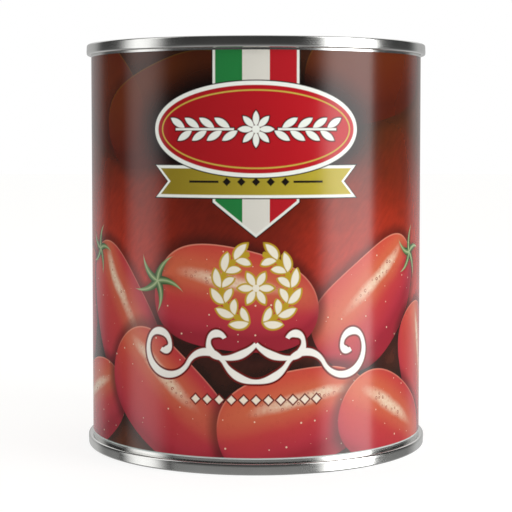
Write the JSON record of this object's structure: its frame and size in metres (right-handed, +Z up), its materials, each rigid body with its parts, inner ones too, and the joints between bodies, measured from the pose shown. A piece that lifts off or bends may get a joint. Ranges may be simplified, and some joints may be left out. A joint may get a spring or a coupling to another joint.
{
  "type": "shut tin of tomatoes",
  "caption": "Shut cylindrical food tin with double-seamed tinplate ends and a printed paper label; it stands on its bottom seam.",
  "frame": {"origin": "centre of the tin on the floor, where the bottom seam rests", "axes": "+Z up along the tin's axis, -Y to the front of the label, the glued lap of the label at the back on +Y"},
  "size_m": [0.1022, 0.1022, 0.12],
  "materials": {
    "tinplate": "bright tinplate with faint rolling marks",
    "label_paper": "printed and varnished paper, semi-gloss"
  },
  "bodies": {
    "root": {"can_body": "tinplate", "top_end": "tinplate", "base_end": "tinplate", "label": "label_paper"}
  },
  "joints": []
}
